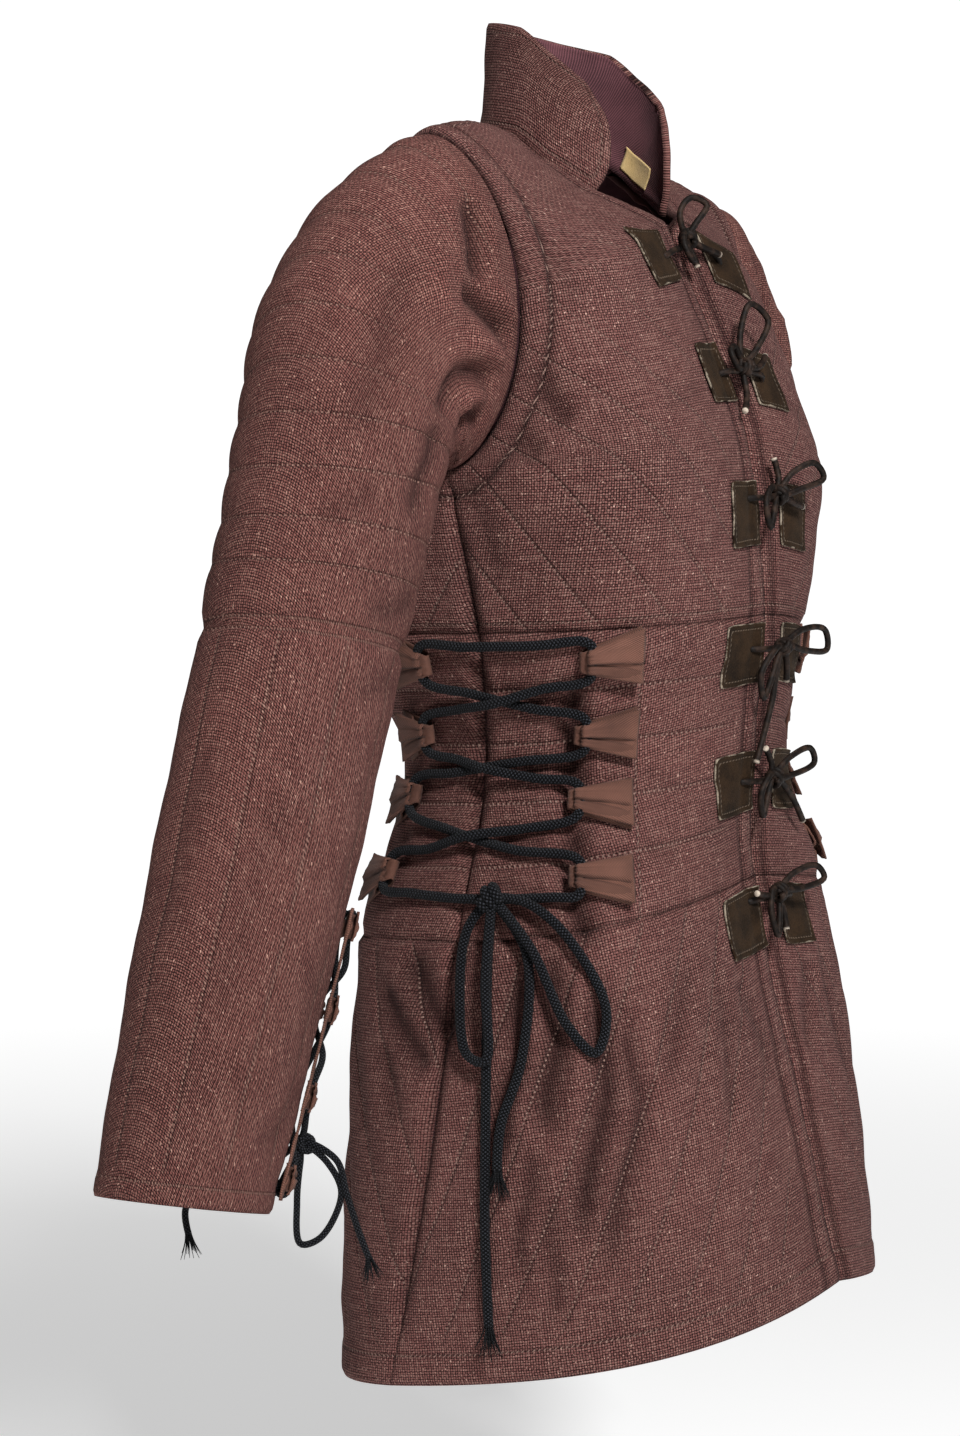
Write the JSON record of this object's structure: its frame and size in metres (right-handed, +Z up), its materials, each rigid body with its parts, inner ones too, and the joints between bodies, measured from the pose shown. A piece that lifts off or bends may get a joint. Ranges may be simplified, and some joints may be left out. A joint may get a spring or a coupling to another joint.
{
  "type": "gambeson",
  "caption": "Worn, hollow quilted canvas coat with a low standing collar, laced waist and cuffs, flared skirt and an overlapped front tied with leather thongs.",
  "frame": {"origin": "on the centre plane, level with the tops of the shoulders, where the wearer carries the coat", "axes": "+Z up; the coat faces -Y; +X is the wearer's left"},
  "size_m": [0.7746, 0.3187, 0.8578],
  "materials": {
    "canvas": "coarse matte brown-maroon canvas, quilted over padding",
    "lining": "thin pinkish brown cotton, matte",
    "tape": "brown twill ribbon, matte",
    "suede": "dark suede with pale cut edges",
    "thong": "smooth dark leather, semi-matte",
    "braid": "black braided cotton cord",
    "label": "cream yellow satin ribbon, bare"
  },
  "bodies": {
    "root": {"chest_back": "canvas", "chest_front_left": "canvas", "chest_front_right": "canvas", "collar": "canvas", "neck_label": "label", "neck_lining_back": "lining", "neck_lining_left": "lining", "neck_lining_right": "lining", "patch_left_1": "suede", "patch_left_2": "suede", "patch_left_3": "suede", "patch_left_4": "suede", "patch_left_5": "suede", "patch_left_6": "suede", "patch_right_1": "suede", "patch_right_2": "suede", "patch_right_3": "suede", "patch_right_4": "suede", "patch_right_5": "suede", "patch_right_6": "suede", "side_lace_left": "braid", "side_lace_right": "braid", "skirt_back": "canvas", "skirt_front_left": "canvas", "skirt_front_right": "canvas", "sleeve_lace_left": "braid", "sleeve_lace_right": "braid", "sleeve_left": "canvas", "sleeve_right": "canvas", "sleeve_tape_back_left": "tape", "sleeve_tape_back_right": "tape", "sleeve_tape_front_left": "tape", "sleeve_tape_front_right": "tape", "tab_back_left_1": "tape", "tab_back_left_2": "tape", "tab_back_left_3": "tape", "tab_back_left_4": "tape", "tab_back_right_1": "tape", "tab_back_right_2": "tape", "tab_back_right_3": "tape", "tab_back_right_4": "tape", "tab_front_left_1": "tape", "tab_front_left_2": "tape", "tab_front_left_3": "tape", "tab_front_left_4": "tape", "tab_front_right_1": "tape", "tab_front_right_2": "tape", "tab_front_right_3": "tape", "tab_front_right_4": "tape", "tie_1": "thong", "tie_2": "thong", "tie_3": "thong", "tie_4": "thong", "tie_5": "thong", "tie_6": "thong", "waist_back": "canvas", "waist_front_left": "canvas", "waist_front_right": "canvas"}
  },
  "joints": []
}
